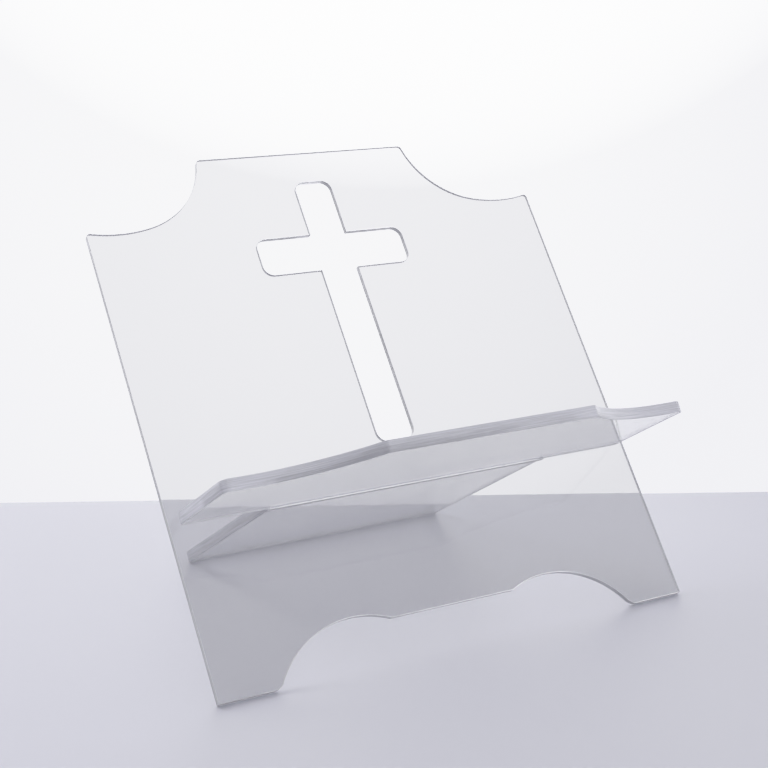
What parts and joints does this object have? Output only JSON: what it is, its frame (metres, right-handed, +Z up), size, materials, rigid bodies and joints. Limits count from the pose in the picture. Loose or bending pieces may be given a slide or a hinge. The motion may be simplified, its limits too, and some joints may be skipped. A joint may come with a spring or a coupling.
{
  "type": "bible stand",
  "caption": "Tabletop book stand of clear acrylic: a leaning panel with a cross cut-out, and a flat plate through its slot that is both shelf and rear leg.",
  "frame": {"origin": "on the table, under the middle of the stand's outline", "axes": "+Z up, +Y to the back, +X to the reader's right along the panel's width"},
  "size_m": [0.3556, 0.2752, 0.2974],
  "materials": {
    "clear_acrylic": "clear, polished faces and polished cut edges"
  },
  "bodies": {
    "panel": {"back_panel": "clear_acrylic"},
    "plate": {"shelf_and_leg": "clear_acrylic"}
  },
  "joints": [
    {"name": "plate_slide", "type": "slide", "parent": "panel", "child": "plate", "axis": [0, -0.8517, 0.524], "range_m": [0, 0.17]}
  ]
}
